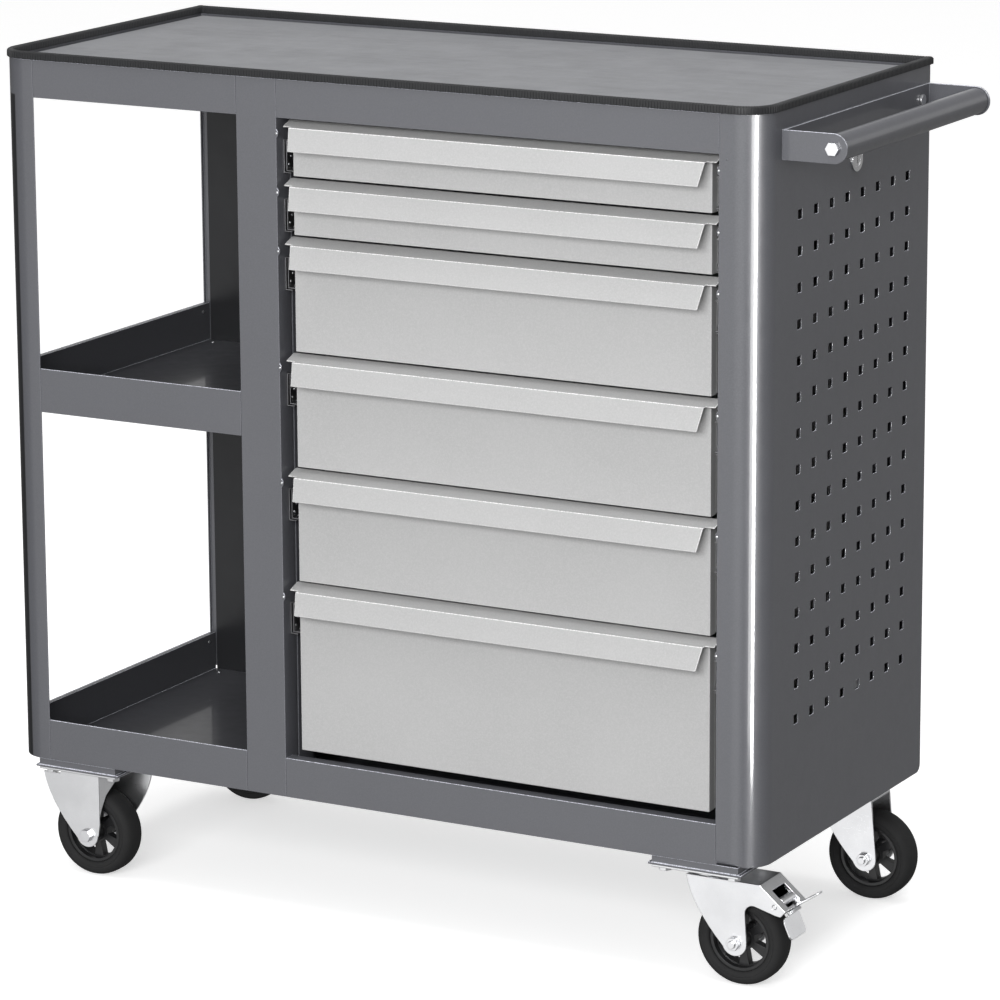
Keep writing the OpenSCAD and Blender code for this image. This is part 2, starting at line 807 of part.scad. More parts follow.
// Sloping plate with a window, open at the lower end for the release spoon
module brake_housing() {
    slope = atan2(slope_b[1] - slope_a[1], slope_b[0] - slope_a[0]);
    length = norm(slope_b - slope_a);
    translate([slope_a[0], 0, slope_a[1]]) rotate([0, -slope, 0]) difference() {
        block([0, -fork_out, -fork_t], [length, fork_out, 0]);
        block([length * 0.3, -14, -2 * fork_t], [length * 0.92, 16, fork_t]);
        block([length * 0.8, spoon_y - spoon_w / 2 - 1.5, -2 * fork_t],
            [length + 1, spoon_y + spoon_w / 2 + 1.5, fork_t]);
    }
}

module swivel_fork(braked) {
    crown_end = braked ? slope_a[0] : 8;
    difference() {
        union() {
            for (y = [-fork_out, fork_in]) along_y(y, y + fork_t) swivel_leg_outline(braked);
            block([-crown_back, -fork_out, crown_h - fork_t], [crown_end, fork_out, crown_h]);
            if (braked) brake_housing();
        }
        bar_y(0, -fork_out - 1, fork_out + 1, 0, axle_bolt_r + bore_gap);
        translate([-trail, 0, wheel_r]) cylinder(h = 30, r = kingpin_bore_r);
        if (braked) bar_y(brake_x, -fork_out - 1, fork_out + 1, brake_z, brake_pin_r + 0.06);
    }
}

module at_swivel_wheel(spot) {
    translate([spot[0] + trail, spot[1], wheel_r]) children();
}

module swivel_fork_front() {
    color(zinc) place() at_swivel_wheel(caster_spots[2]) swivel_fork(true);
}

module swivel_fork_rear() {
    color(zinc) place() at_swivel_wheel(caster_spots[3]) swivel_fork(false);
}

module swivel_axle_front() {
    color(zinc) place() at_swivel_wheel(caster_spots[2]) axle(-1);
}

module swivel_axle_rear() {
    color(zinc) place() at_swivel_wheel(caster_spots[3]) axle(-1);
}

pedal_top = [56.5, 35];
pedal_bottom = [66, 13];
pedal_len = norm(pedal_bottom - pedal_top);
pedal_y0 = -22;
pedal_y1 = 6;
arm_y0 = -12;
arm_y1 = 14;

// Tag-shaped pedal with rounded corners, and the stem that it hangs from
module pedal_outline() {
    corner = 5;
    translate([-6, arm_y0]) square([corner + 6, pedal_y1 - arm_y0]);
    translate([0, pedal_y0]) square([pedal_len, pedal_y1 - pedal_y0]);
    translate([corner, pedal_y0 - corner]) square([pedal_len - 2 * corner, pedal_y1 - pedal_y0 + 2 * corner]);
    for (x = [corner, pedal_len - corner], y = [pedal_y0, pedal_y1]) translate([x, y]) circle(corner);
}

// Brake lever: a pin between the legs, an arm, a pedal at the front and a release spoon
module brake_lever() {
    pedal_angle = atan2(pedal_bottom[1] - pedal_top[1], pedal_bottom[0] - pedal_top[0]);
    half_t = 1;
    spoon_len = 30;
    barrel_r = 6;
    barrel_over = 1.5;
    color(zinc) place() at_swivel_wheel(caster_spots[2]) union() {
        bar_y(brake_x, -fork_out, fork_out, brake_z, brake_pin_r);
        bar_y(brake_x, arm_y0 - barrel_over, arm_y1 + barrel_over, brake_z, barrel_r);
        translate([brake_x, 0, brake_z]) rotate([0, 38, 0]) block([0, arm_y0, -half_t], [16, arm_y1, half_t]);
        translate([pedal_top[0], 0, pedal_top[1]]) rotate([0, -pedal_angle, 0])
            translate([0, 0, -half_t]) linear_extrude(2 * half_t) pedal_outline();
        translate([slope_b[0] - 2.8, 0, slope_b[1] - 1.6]) rotate([0, -33, 0])
            translate([0, 0, -half_t]) linear_extrude(2 * half_t) {
                translate([-3, spoon_y - spoon_w / 2]) square([spoon_len + 3, spoon_w]);
                translate([spoon_len, spoon_y]) circle(spoon_w / 2);
            }
    }
}

module at_wheel(x, y) {
    translate([x, y, wheel_r]) rotate([90, 0, 0]) children();
}

// Tyre: a rounded tread, shallow side grooves and a seat for the hub
module tyre(x, y) {
    half = tyre_w / 2;
    shoulder = 8;
    flat_w = tyre_w - 2 * shoulder;
    groove_r = 0.8;
    color(rubber) place() at_wheel(x, y) rotate_extrude($fn = 96) difference() {
        union() {
            translate([rim_r, -half]) square([wheel_r - rim_r - shoulder, tyre_w]);
            translate([rim_r, -flat_w / 2]) square([wheel_r - rim_r, flat_w]);
            for (side = [-1, 1]) translate([wheel_r - shoulder, side * flat_w / 2]) circle(shoulder);
        }
        for (side = [-1, 1]) translate([wheel_r - shoulder - 1.5, side * half]) circle(groove_r);
    }
}

// Hub: rim, web with wedge openings between its spokes, and a long boss
module hub(x, y) {
    spokes = 6;
    rim_half = 12.5;
    rim_t = 3.5;
    web_half = 5;
    boss_r = 10.5;
    wedge = [[13.5, -3.5], [28, -9.5], [29.2, 0], [28, 9.5], [13.5, 3.5]];
    color(hub_black) place() at_wheel(x, y) difference() {
        union() {
            rotate_extrude($fn = 96) translate([rim_r - rim_t, -rim_half]) square([rim_t, 2 * rim_half]);
            rotate_extrude($fn = 96) translate([8, -web_half]) square([rim_r - 10, 2 * web_half]);
            cylinder(h = 2 * hub_half, r = boss_r, center = true);
        }
        cylinder(h = 2 * hub_half + 2, r = axle_r + hub_gap, center = true);
        for (i = [0 : spokes - 1]) rotate([0, 0, 360 / spokes * i + 4]) translate([0, 0, -web_half - 1])
            linear_extrude(2 * web_half + 2) polygon(wedge);
    }
}

function wheel_x(index) = caster_spots[index][0] + (index >= 2 ? trail : 0);
function wheel_y(index) = caster_spots[index][1];

left_side_frame();
right_side_panel();
divider_panel();
rear_panel();
front_rail(tray_x0, tray_x1);  // top_rail_left
front_rail(drawer_x0, drawer_x1);  // top_rail_right
cabinet_floor();
middle_tray();
bottom_tray();
worktop_tray();
worktop_mat();
edge_trim();
slide_uprights();
cabinet_rails();
caster_pads();
caster_bolts();
handle_bracket();
handle_tube();
handle_bolts();
lock_housing();
lock_plug();
lock_bar();
lock_guides();
drawer_front(1);  // drawer_front_1
drawer_front(2);  // drawer_front_2
drawer_front(3);  // drawer_front_3
drawer_front(4);  // drawer_front_4
drawer_front(5);  // drawer_front_5
drawer_front(6);  // drawer_front_6
drawer_box(1);  // drawer_box_1
drawer_box(2);  // drawer_box_2
drawer_box(3);  // drawer_box_3
drawer_box(4);  // drawer_box_4
drawer_box(5);  // drawer_box_5
drawer_box(6);  // drawer_box_6
mid_rails(1);  // mid_rails_1
mid_rails(2);  // mid_rails_2
mid_rails(3);  // mid_rails_3
mid_rails(4);  // mid_rails_4
mid_rails(5);  // mid_rails_5
mid_rails(6);  // mid_rails_6
fixed_forks();
fixed_axles();
swivel_plates();
kingpins();
swivel_fork_front();
swivel_fork_rear();
swivel_axle_front();
swivel_axle_rear();
brake_lever();
tyre(wheel_x(0), wheel_y(0));  // tyre_front_left
tyre(wheel_x(1), wheel_y(1));  // tyre_rear_left
tyre(wheel_x(2), wheel_y(2));  // tyre_front_right
tyre(wheel_x(3), wheel_y(3));  // tyre_rear_right
hub(wheel_x(0), wheel_y(0));  // hub_front_left
hub(wheel_x(1), wheel_y(1));  // hub_rear_left
hub(wheel_x(2), wheel_y(2));  // hub_front_right
hub(wheel_x(3), wheel_y(3));  // hub_rear_right
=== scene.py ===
import json
import math

import bmesh
import bpy
from mathutils import Matrix, Vector


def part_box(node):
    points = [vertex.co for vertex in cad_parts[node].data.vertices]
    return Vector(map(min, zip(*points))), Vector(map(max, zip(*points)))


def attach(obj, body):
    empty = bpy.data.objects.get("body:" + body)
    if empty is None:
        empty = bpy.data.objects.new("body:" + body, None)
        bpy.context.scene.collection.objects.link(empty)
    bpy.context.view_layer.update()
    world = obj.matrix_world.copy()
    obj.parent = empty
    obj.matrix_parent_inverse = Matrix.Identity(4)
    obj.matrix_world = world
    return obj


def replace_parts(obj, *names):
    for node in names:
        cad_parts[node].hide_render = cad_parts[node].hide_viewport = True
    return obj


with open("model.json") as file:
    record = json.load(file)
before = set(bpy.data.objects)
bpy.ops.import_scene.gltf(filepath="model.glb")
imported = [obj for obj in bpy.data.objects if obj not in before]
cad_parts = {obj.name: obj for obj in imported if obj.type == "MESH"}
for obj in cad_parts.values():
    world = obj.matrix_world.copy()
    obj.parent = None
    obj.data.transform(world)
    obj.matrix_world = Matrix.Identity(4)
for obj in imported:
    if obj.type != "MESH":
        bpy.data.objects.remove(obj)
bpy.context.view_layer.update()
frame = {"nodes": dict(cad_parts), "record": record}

MM = 0.001
DRAWERS = range(1, 7)
WHEELS = ("front_left", "rear_left", "front_right", "rear_right")


# ------------------------------------------------------------------ materials

def shader(name):
    """A new material that holds only a Principled shader and its output."""
    mat = bpy.data.materials.new(name)
    mat.use_nodes = True
    tree = mat.node_tree
    tree.nodes.clear()
    out = tree.nodes.new("ShaderNodeOutputMaterial")
    bsdf = tree.nodes.new("ShaderNodeBsdfPrincipled")
    tree.links.new(bsdf.outputs[0], out.inputs[0])
    return mat, tree, bsdf


def place_coords(tree, scale=(1, 1, 1)):
    """The place on the object, in metres, so that no pattern slides when a body moves."""
    coord = tree.nodes.new("ShaderNodeTexCoord")
    mapping = tree.nodes.new("ShaderNodeMapping")
    mapping.inputs["Scale"].default_value = scale
    tree.links.new(coord.outputs["Object"], mapping.inputs["Vector"])
    return mapping.outputs[0]


def noise(tree, scale, detail=3, rough=0.55, stretch=(1, 1, 1)):
    """Noise of about 0.3 to 0.7; stretch is a higher scale across the lines it draws."""
    node = tree.nodes.new("ShaderNodeTexNoise")
    node.inputs["Scale"].default_value = scale
    node.inputs["Detail"].default_value = detail
    node.inputs["Roughness"].default_value = rough
    tree.links.new(place_coords(tree, stretch), node.inputs["Vector"])
    return node.outputs["Fac"]


def spread(tree, value, low, high, from_low=0.3, from_high=0.7):
    """Carries a value from one range to another, held at its ends."""
    node = tree.nodes.new("ShaderNodeMapRange")
    node.inputs["From Min"].default_value = from_low
    node.inputs["From Max"].default_value = from_high
    node.inputs["To Min"].default_value = low
    node.inputs["To Max"].default_value = high
    tree.links.new(value, node.inputs["Value"])
    return node.outputs["Result"]


def times(tree, a, b):
    node = tree.nodes.new("ShaderNodeMath")
    node.operation = "MULTIPLY"
    tree.links.new(a, node.inputs[0])
    if isinstance(b, float):
        node.inputs[1].default_value = b
    else:
        tree.links.new(b, node.inputs[1])
    return node.outputs[0]


def blend(tree, factor, a, b):
    node = tree.nodes.new("ShaderNodeMix")
    node.data_type = "RGBA"
    tree.links.new(factor, node.inputs["Factor"])
    for socket, colour in (("A", a), ("B", b)):
        target = [s for s in node.inputs if s.name == socket and s.type == "RGBA"][0]
        if isinstance(colour, tuple):
            target.default_value = (*colour, 1)
        else:
            tree.links.new(colour, target)
    return [s for s in node.outputs if s.type == "RGBA"][0]


def facing(tree, direction):
    """How squarely the surface faces a direction of the shared frame, from -1 to 1."""
    node = tree.nodes.new("ShaderNodeVectorMath")
    node.operation = "DOT_PRODUCT"
    node.inputs[1].default_value = direction
    tree.links.new(tree.nodes.new("ShaderNodeNewGeometry").outputs["Normal"], node.inputs[0])
    return node.outputs["Value"]


def edge_mask(tree, grain=900):
    """Marks the rounded edges of a piece, broken up by noise, as edge wear and as a painted highlight that is
    stronger on edges facing up, where light from above falls.
    """
    attribute = tree.nodes.new("ShaderNodeAttribute")
    attribute.attribute_name = "edge"
    # painted highlight: edges facing up get more of the lightening, as light from above falls on them
    lit_from_above = spread(tree, facing(tree, (0.0, 0.0, 1.0)), 0.10, 1.0, 0.0, 0.65)
    grains = spread(tree, noise(tree, grain, 2), 0.25, 1.0, 0.40, 0.55)
    return times(tree, attribute.outputs["Fac"], times(tree, lit_from_above, grains))


def bump(tree, bsdf, layers):
    """Fine relief in several layers of (height, strength, distance in metres)."""
    last = None
    for value, strength, distance in layers:
        node = tree.nodes.new("ShaderNodeBump")
        node.inputs["Strength"].default_value = strength
        node.inputs["Distance"].default_value = distance
        tree.links.new(value, node.inputs["Height"])
        if last is not None:
            tree.links.new(last, node.inputs["Normal"])
        last = node.outputs[0]
    tree.links.new(last, bsdf.inputs["Normal"])


def shade(colour, factor):
    return tuple(c * factor for c in colour)


def inside_mask(tree, low, high):
    """1 inside a box given in the shared frame, 0 outside it, with soft edges of half a millimetre."""
    split = tree.nodes.new("ShaderNodeSeparateXYZ")
    tree.links.new(place_coords(tree), split.inputs[0])
    mask = None
    for axis in range(3):
        for edge, sign in ((low[axis], 1), (high[axis], -1)):
            part = spread(tree, split.outputs[axis], 0.0, 1.0, edge, edge + sign * 0.5 * MM)
            mask = part if mask is None else times(tree, mask, part)
    return mask


def paint(name, colour, rough, coat, peel, edge_highlight_and_wear=1.5, painted_shade_box=None):
    """Powder coat: large soft changes of tone, fine orange peel, and lightened edges, partly paint wear and
    partly a painted highlight.
    Inside the given box the colour is darkened as painted shade for the compartments. It is darkest on
    faces turned to the front, which also lose gloss."""
    mat, tree, bsdf = shader(name)
    tone = blend(tree, spread(tree, noise(tree, 7, 4), 0, 1), shade(colour, 0.97), shade(colour, 1.03))
    flecks = spread(tree, noise(tree, 620, 3, 0.7), 0, 0.8, 0.40, 0.70)
    fleck = blend(tree, flecks, tone, shade(colour, 1.16))
    # painted highlight and wear: the rounded edges are lightened, most where they face up
    lit_and_worn_colour = blend(tree, times(tree, edge_mask(tree), 0.9), fleck, shade(colour, edge_highlight_and_wear))
    # painted shade: inside the box the colour is darkened towards a dark grey, most on faces turned to the
    # front, and the coat weight is lowered there so those faces also lose their reflection
    if painted_shade_box:
        shade_amount = spread(tree, facing(tree, (0.0, -1.0, 0.0)), 0.34, 0.95, 0.2, 0.8)
        shade_amount = times(tree, inside_mask(tree, *painted_shade_box), shade_amount)
        lit_and_worn_colour = blend(tree, shade_amount, lit_and_worn_colour, shade(colour, 0.12))
        tree.links.new(spread(tree, shade_amount, coat, coat * 0.1, 0.36, 0.95), bsdf.inputs["Coat Weight"])
    tree.links.new(lit_and_worn_colour, bsdf.inputs["Base Color"])
    tree.links.new(spread(tree, noise(tree, 60, 4), rough - 0.03, rough + 0.04), bsdf.inputs["Roughness"])
    bsdf.inputs["Coat Weight"].default_value = coat
    bsdf.inputs["Coat Roughness"].default_value = 0.07
    bsdf.inputs["Coat IOR"].default_value = 1.6
    bsdf.inputs["IOR"].default_value = 1.5
    bsdf.inputs["Specular IOR Level"].default_value = 0.3
    bump(tree, bsdf, [(noise(tree, 520, 2, 0.5), peel, 0.00012),
                      (noise(tree, 90, 2, 0.5), peel * 0.5, 0.0002)])
    return mat


def rubber(name, colour, rough, grain, strength, streak=None, gloss=0.5):
    """Rubber: dusty changes of tone and a fine grain, with streaks where it is a rolled mat."""
    mat, tree, bsdf = shader(name)
    tone = blend(tree, spread(tree, noise(tree, 18, 5), 0, 1), shade(colour, 0.9), shade(colour, 1.12))
    if streak:
        streaks = spread(tree, noise(tree, 5, 6, 0.6, streak), 0.0, 0.6, 0.4, 0.7)
        tone = blend(tree, streaks, tone, shade(colour, 1.13))
    dust = spread(tree, noise(tree, grain * 1.3, 2), 0, 0.5, 0.5, 0.75)
    dusty = blend(tree, dust, tone, shade(colour, 1.3))
    # painted highlight and wear: the rounded edges are lightened, most where they face up
    lit_and_worn_colour = blend(tree, times(tree, edge_mask(tree), 0.5), dusty, shade(colour, 1.6))
    tree.links.new(lit_and_worn_colour, bsdf.inputs["Base Color"])
    tree.links.new(spread(tree, noise(tree, 45, 4), rough - 0.06, rough + 0.06), bsdf.inputs["Roughness"])
    bsdf.inputs["IOR"].default_value = 1.5
    bsdf.inputs["Specular IOR Level"].default_value = gloss
    bump(tree, bsdf, [(noise(tree, grain, 3, 0.6), strength, 0.0002),
                      (noise(tree, grain / 8, 3), strength, 0.0002)])
    return mat


def metal(name, colour, rough, streak, strength, stain=0.9):
    """Plated or drawn steel: fine drawing lines, cloudy plating and brighter edges, partly wear and partly a
    painted highlight.
    """
    mat, tree, bsdf = shader(name)
    clouds = spread(tree, noise(tree, 30, 4, 0.5), 0, 1)
    cloudy = blend(tree, clouds, shade(colour, stain), shade(colour, 1.03))
    specks = spread(tree, noise(tree, 700, 3), 0, 0.2, 0.55, 0.75)
    speck = blend(tree, specks, cloudy, shade(colour, stain * 0.9))
    lit_and_worn_colour = blend(tree, times(tree, edge_mask(tree), 0.5), speck, shade(colour, 1.08))
    tree.links.new(lit_and_worn_colour, bsdf.inputs["Base Color"])
    bsdf.inputs["Metallic"].default_value = 1.0
    lines = noise(tree, 60, 4, 0.6, streak)
    tree.links.new(spread(tree, lines, rough - 0.03, rough + 0.05), bsdf.inputs["Roughness"])
    bump(tree, bsdf, [(lines, strength, 0.00005), (noise(tree, 260, 3), strength, 0.00008)])
    return mat


def plastic(name, colour, rough):
    """Moulded plastic with a fine spark-eroded grain and lighter edges, partly dulled and partly a painted
    highlight.
    """
    mat, tree, bsdf = shader(name)
    tone = blend(tree, spread(tree, noise(tree, 30, 4), 0, 1), shade(colour, 0.85), shade(colour, 1.2))
    lit_and_worn_colour = blend(tree, times(tree, edge_mask(tree), 0.6), tone, shade(colour, 2.4))
    tree.links.new(lit_and_worn_colour, bsdf.inputs["Base Color"])
    tree.links.new(spread(tree, noise(tree, 70, 4), rough - 0.05, rough + 0.07), bsdf.inputs["Roughness"])
    bump(tree, bsdf, [(noise(tree, 1500, 2), 0.25, 0.0001)])
    return mat


frame_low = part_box("left_side_frame")[0]
post_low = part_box("divider_panel")[0]
rail_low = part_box("top_rail_left")[0]
rear_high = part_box("rear_panel")[1]
# the box of painted shade in the tray compartments: from the inner faces of the left frame and the front to
# the divider, the rear panel and the top rail
tray_space = ((frame_low.x + 3 * MM, frame_low.y + 2.5 * MM, frame_low.z),
              (post_low.x + 1 * MM, rear_high.y - 0.7 * MM, rail_low.z + 2 * MM))
# in paint(), the number after the peel sets how far the edges are lightened, mostly as a painted highlight;
# the cabinet paint is also darkened inside tray_space as painted shade
SLOTS = {
    "cabinet_paint": paint("cabinet_paint", (0.096, 0.098, 0.109), 0.34, 0.36, 0.10, 8.8, tray_space),
    "drawer_paint": paint("drawer_paint", (0.405, 0.405, 0.405), 0.42, 0.10, 0.07, 2.45),
    "trim_rubber": rubber("trim_rubber", (0.016, 0.0165, 0.018), 0.52, 900, 0.2, gloss=0.4),
    "mat_rubber": rubber("mat_rubber", (0.212, 0.215, 0.225), 0.62, 1100, 0.3, (1.2, 26, 1), gloss=0.2),
    "zinc_steel": metal("zinc_steel", (0.80, 0.805, 0.82), 0.30, (3, 3, 40), 0.02, 0.93),
    "slide_steel": metal("slide_steel", (0.30, 0.30, 0.31), 0.40, (60, 1.5, 60), 0.2, 0.75),
    "lock_metal": metal("lock_metal", (0.80, 0.80, 0.81), 0.18, (20, 20, 20), 0.08),
    "tyre_rubber": rubber("tyre_rubber", (0.021, 0.021, 0.0215), 0.82, 1000, 0.35, gloss=0.22),
    "hub_plastic": plastic("hub_plastic", (0.012, 0.012, 0.013), 0.36),
}
NODE_SLOT = {s["node"]: s["material_slot"] for s in frame["record"]["subparts"]}
NODE_BODY = {n: b for b, ns in frame["record"]["behaviour"]["bodies"].items() for n in ns}


# ------------------------------------------------------------------ pieces

def finish_mesh(bm, name):
    """Turns a bmesh into a mesh with smooth faces."""
    mesh = bpy.data.meshes.new(name)
    bm.to_mesh(mesh)
    bm.free()
    for face in mesh.polygons:
        face.use_smooth = True
    return mesh


def add_piece(mesh, name, body, slot, sharp_angle=60.0):
    """Puts a finished mesh in the scene with its body, slot and material, its flat faces kept flat."""
    mesh.set_sharp_from_angle(angle=math.radians(sharp_angle))
    mesh.materials.clear()
    mesh.materials.append(SLOTS[slot])
    piece = bpy.data.objects.new(name, mesh)
    bpy.context.scene.collection.objects.link(piece)
    weighted = piece.modifiers.new("flat_faces", "WEIGHTED_NORMAL")
    weighted.keep_sharp = True
    weighted.weight = 100
    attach(piece, body)
    return piece


def keep_faces(bm, wanted):
    """Leaves only the faces that wanted() picks, and closes the openings that this makes."""
    bmesh.ops.delete(bm, geom=[f for f in bm.faces if not wanted(f)], context="FACES")
    bmesh.ops.holes_fill(bm, edges=[e for e in bm.edges if e.is_boundary], sides=0)
    bmesh.ops.recalc_face_normals(bm, faces=bm.faces)
    return bm


def round_edges(bm, radius, segments, angle):
    """Rounds every edge sharper than angle by radius mm, and marks the new faces in the layer "edge"."""
    bmesh.ops.dissolve_limit(bm, angle_limit=math.radians(0.4), verts=bm.verts, edges=bm.edges,
                             use_dissolve_boundaries=False)
    limit = math.radians(angle)
    sharp = [e for e in bm.edges if len(e.link_faces) == 2 and e.calc_face_angle(0.0) > limit]
    layer = bm.faces.layers.float.new("edge")
    made = bmesh.ops.bevel(bm, geom=sharp, offset=radius * MM, offset_type="OFFSET", segments=segments,
                           profile=0.5, affect="EDGES", clamp_overlap=False)
    for face in made["faces"]:
        face[layer] = 1.0
    bmesh.ops.remove_doubles(bm, verts=bm.verts, dist=1e-6)


def cad_mesh(node):
    """A copy of a CAD node's mesh, its doubled points merged."""
    bm = bmesh.new()
    bm.from_mesh(frame["nodes"][node].data)
    bmesh.ops.remove_doubles(bm, verts=bm.verts, dist=2e-6)
    return bm


def rounded_piece(bm, node, name, slot, radius, segments):
    """Rounds a mesh's edges and shows it in place of its CAD node."""
    round_edges(bm, radius, segments, 28.0)
    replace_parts(add_piece(finish_mesh(bm, name), name, NODE_BODY[node], slot), node)


def rounded(node, radius, segments):
    """A copy of a CAD node whose edges have the small radius that a bend, a cut or a cast edge has."""
    rounded_piece(cad_mesh(node), node, node + "_rounded", NODE_SLOT[node], radius, segments)


def rounded_drawer(node, radius, runner_depth):
    """A drawer's painted box, and the two bare steel runners on its sides as a piece of their own."""
    low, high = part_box(node)
    depth = (runner_depth - 0.1) * MM
    left, right = low.x + depth, high.x - depth

    def on_runner(face):
        return not left < face.calc_center_median().x < right

    runners = keep_faces(cad_mesh(node), on_runner)
    rounded_piece(runners, node, node + "_runners", "slide_steel", radius, 2)
    painted = keep_faces(cad_mesh(node), lambda face: not on_runner(face))
    rounded_piece(painted, node, node + "_rounded", NODE_SLOT[node], radius, 2)


def ringed_bmesh():
    """An empty bmesh for pieces built of rings, with the layer "edge", which stays at 0."""
    bm = bmesh.new()
    bm.faces.layers.float.new("edge")
    return bm


def join_rings(bm, a, b):
    """Faces between two rings that have the same number of points."""
    for k in range(len(a)):
        following = (k + 1) % len(a)
        bm.faces.new((a[k], a[following], b[following], b[k]))


def lathe(name, node, centre, profile, segments):
    """A closed outline of (radius, distance along Y) in mm, turned round an axis along Y through centre."""
    bm = ringed_bmesh()
    rings = []
    for i in range(segments):
        a = 2 * math.pi * i / segments
        rings.append([bm.verts.new((centre[0] + r * MM * math.cos(a), centre[1] + y * MM,
                                    centre[2] + r * MM * math.sin(a))) for r, y in profile])
    for i in range(segments):
        join_rings(bm, rings[i], rings[(i + 1) % segments])
    bmesh.ops.recalc_face_normals(bm, faces=bm.faces)
    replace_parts(add_piece(finish_mesh(bm, name), name, NODE_BODY[node], NODE_SLOT[node], 40.0), node)


def trim_loop(low, high, corner):
    """Points and outward directions round the worktop: round front corners and square rear ones."""
    x0, y0, x1, y1 = low.x, low.y, high.x, high.y
    step = 3.3 * MM
    points = []

    def straight(a, b, normal):
        count = max(1, round((b - a).length / step))
        points.extend((a.lerp(b, i / count), normal) for i in range(count))

    def arc(cx, cy, start):
        count = max(4, round(corner * math.pi / 2 / step))
        for i in range(count):
            t = math.radians(start + 90 * i / count)
            n = Vector((math.cos(t), math.sin(t), 0))
            points.append((Vector((cx, cy, 0)) + n * corner, n))

    straight(Vector((x0, y1, 0)), Vector((x0, y0 + corner, 0)), Vector((-1, 0, 0)))
    arc(x0 + corner, y0 + corner, 180)
    straight(Vector((x0 + corner, y0, 0)), Vector((x1 - corner, y0, 0)), Vector((0, -1, 0)))
    arc(x1 - corner, y0 + corner, 270)
    straight(Vector((x1, y0 + corner, 0)), Vector((x1, y1, 0)), Vector((1, 0, 0)))
    straight(Vector((x1, y1, 0)), Vector((x0, y1, 0)), Vector((0, 1, 0)))
    return points


def edge_trim():
    """Rubber profile over the worktop's rim, with fine ribs across it."""
    low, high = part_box("edge_trim")
    top = (high.z - low.z) / MM
    cabinet_corner = 33.0
    proud = 2.5
    wall_out, wall_in = -1.7 - proud, -3.2 - proud
    inner = -8.2
    # each point is (outward from the outer face, up) in mm, then how far it moves in a valley between ribs
    outline = [(-0.4, 0, -0.3, 0), (0, 0.6, -0.55, 0), (0, top - 2.2, -0.55, 0),
               (-0.8, top - 0.8, -0.3, -0.25), (-2.2, top, -0.1, -0.35),
               (inner + 2.2, top, 0.1, -0.35), (inner + 0.8, top - 0.8, 0.3, -0.25),
               (inner, top - 2.2, 0.35, 0), (inner, 0.6, 0.35, 0), (inner + 0.4, 0, 0.3, 0),
               (wall_in, 0, 0, 0), (wall_in, top - 1.5, 0, 0), (wall_out, top - 1.5, 0, 0),
               (wall_out, 0, 0, 0)]
    # along one step of the loop: where a ring stands, and whether it stands in a valley
    rib = ((0.0, 0), (0.46, 0), (0.58, 1), (0.88, 1))
    loop = trim_loop(low, high, (cabinet_corner + proud) * MM)
    bm = ringed_bmesh()
    rings = []
    total = len(loop)
    for i in range(total):
        here, normal = loop[i]
        ahead, next_normal = loop[(i + 1) % total]
        last_normal = loop[i - 1][1]
        square = abs(normal.dot((ahead - here).normalized())) > 0.5 or (last_normal - normal).length > 0.9
        for part, valley in rib:
            spot = here.lerp(ahead, part)
            n = normal.lerp(next_normal, part).normalized()
            if square and part == 0.0:
                n = last_normal + normal
            elif (next_normal - normal).length > 0.9:
                n = normal
            ring = []
            for out, up, valley_out, valley_up in outline:
                reach = out + valley * valley_out
                ring.append(bm.verts.new((spot.x + n.x * reach * MM, spot.y + n.y * reach * MM,
                                          low.z + (up + valley * valley_up) * MM)))
            rings.append(ring)
    for i in range(len(rings)):
        join_rings(bm, rings[i], rings[(i + 1) % len(rings)])
    bmesh.ops.recalc_face_normals(bm, faces=bm.faces)
    piece = add_piece(finish_mesh(bm, "edge_trim_ribbed"), "edge_trim_ribbed", "root", "trim_rubber", 30.0)
    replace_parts(piece, "edge_trim")


def tyre(node):
    """Solid tyre: crowned tread with a parting line, a soft shoulder, a groove and a lip at the rim."""
    low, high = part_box(node)
    half = [(50.0, 0.0), (50.0, 0.5), (49.9, 5.0), (49.5, 8.5), (48.4, 11.6), (46.6, 13.9), (44.3, 15.3),
            (42.2, 15.9), (41.2, 15.8), (40.9, 15.5), (40.4, 15.5), (40.1, 15.8), (38.4, 15.8), (36.6, 15.4),
            (35.2, 14.4), (34.0, 12.9)]
    outline = [(r, -y) for r, y in reversed(half[1:])] + half
    lathe(node + "_moulded", node, (low + high) / 2, outline, 128)


def handle_tube():
    """The handle's tube, with turned corners and a bolt hole from end to end."""
    low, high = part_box("handle_tube")
    half = (high.y - low.y) / 2 / MM
    r = (high.z - low.z) / 2 / MM
    turn = [(r - 1.2, half), (r - 0.6, half - 0.15), (r - 0.18, half - 0.55), (r, half - 1.2)]
    bore = 4.0
    outline = [(bore, -half)] + [(a, -b) for a, b in turn] + list(reversed(turn)) + [(bore, half)]
    lathe("handle_tube_turned", "handle_tube", (low + high) / 2, outline, 96)


def dome(name, spot, axis, r, height, body, slot):
    """A rivet or screw head: a low dome with a short straight foot."""
    axis = Vector(axis).normalized()
    side = axis.orthogonal().normalized()
    other = axis.cross(side)
    foot, sides = 0.25, 24
    outline = [(r, 0.0), (r, height * foot)]
    for t in map(math.radians, (20, 42, 64, 82)):
        outline.append((r * math.cos(t), height * (foot + (1 - foot) * math.sin(t))))
    turns = [2 * math.pi * i / sides for i in range(sides)]
    outward = [side * math.cos(a) + other * math.sin(a) for a in turns]
    bm = ringed_bmesh()
    rings = [[bm.verts.new(Vector(spot) + out * q * MM + axis * z * MM) for out in outward]
             for q, z in outline]
    for a, b in zip(rings, rings[1:]):
        join_rings(bm, a, b)
    bm.faces.new(rings[-1])
    bm.faces.new(list(reversed(rings[0])))
    bmesh.ops.recalc_face_normals(bm, faces=bm.faces)
    add_piece(finish_mesh(bm, name), name, body, slot, 50.0)


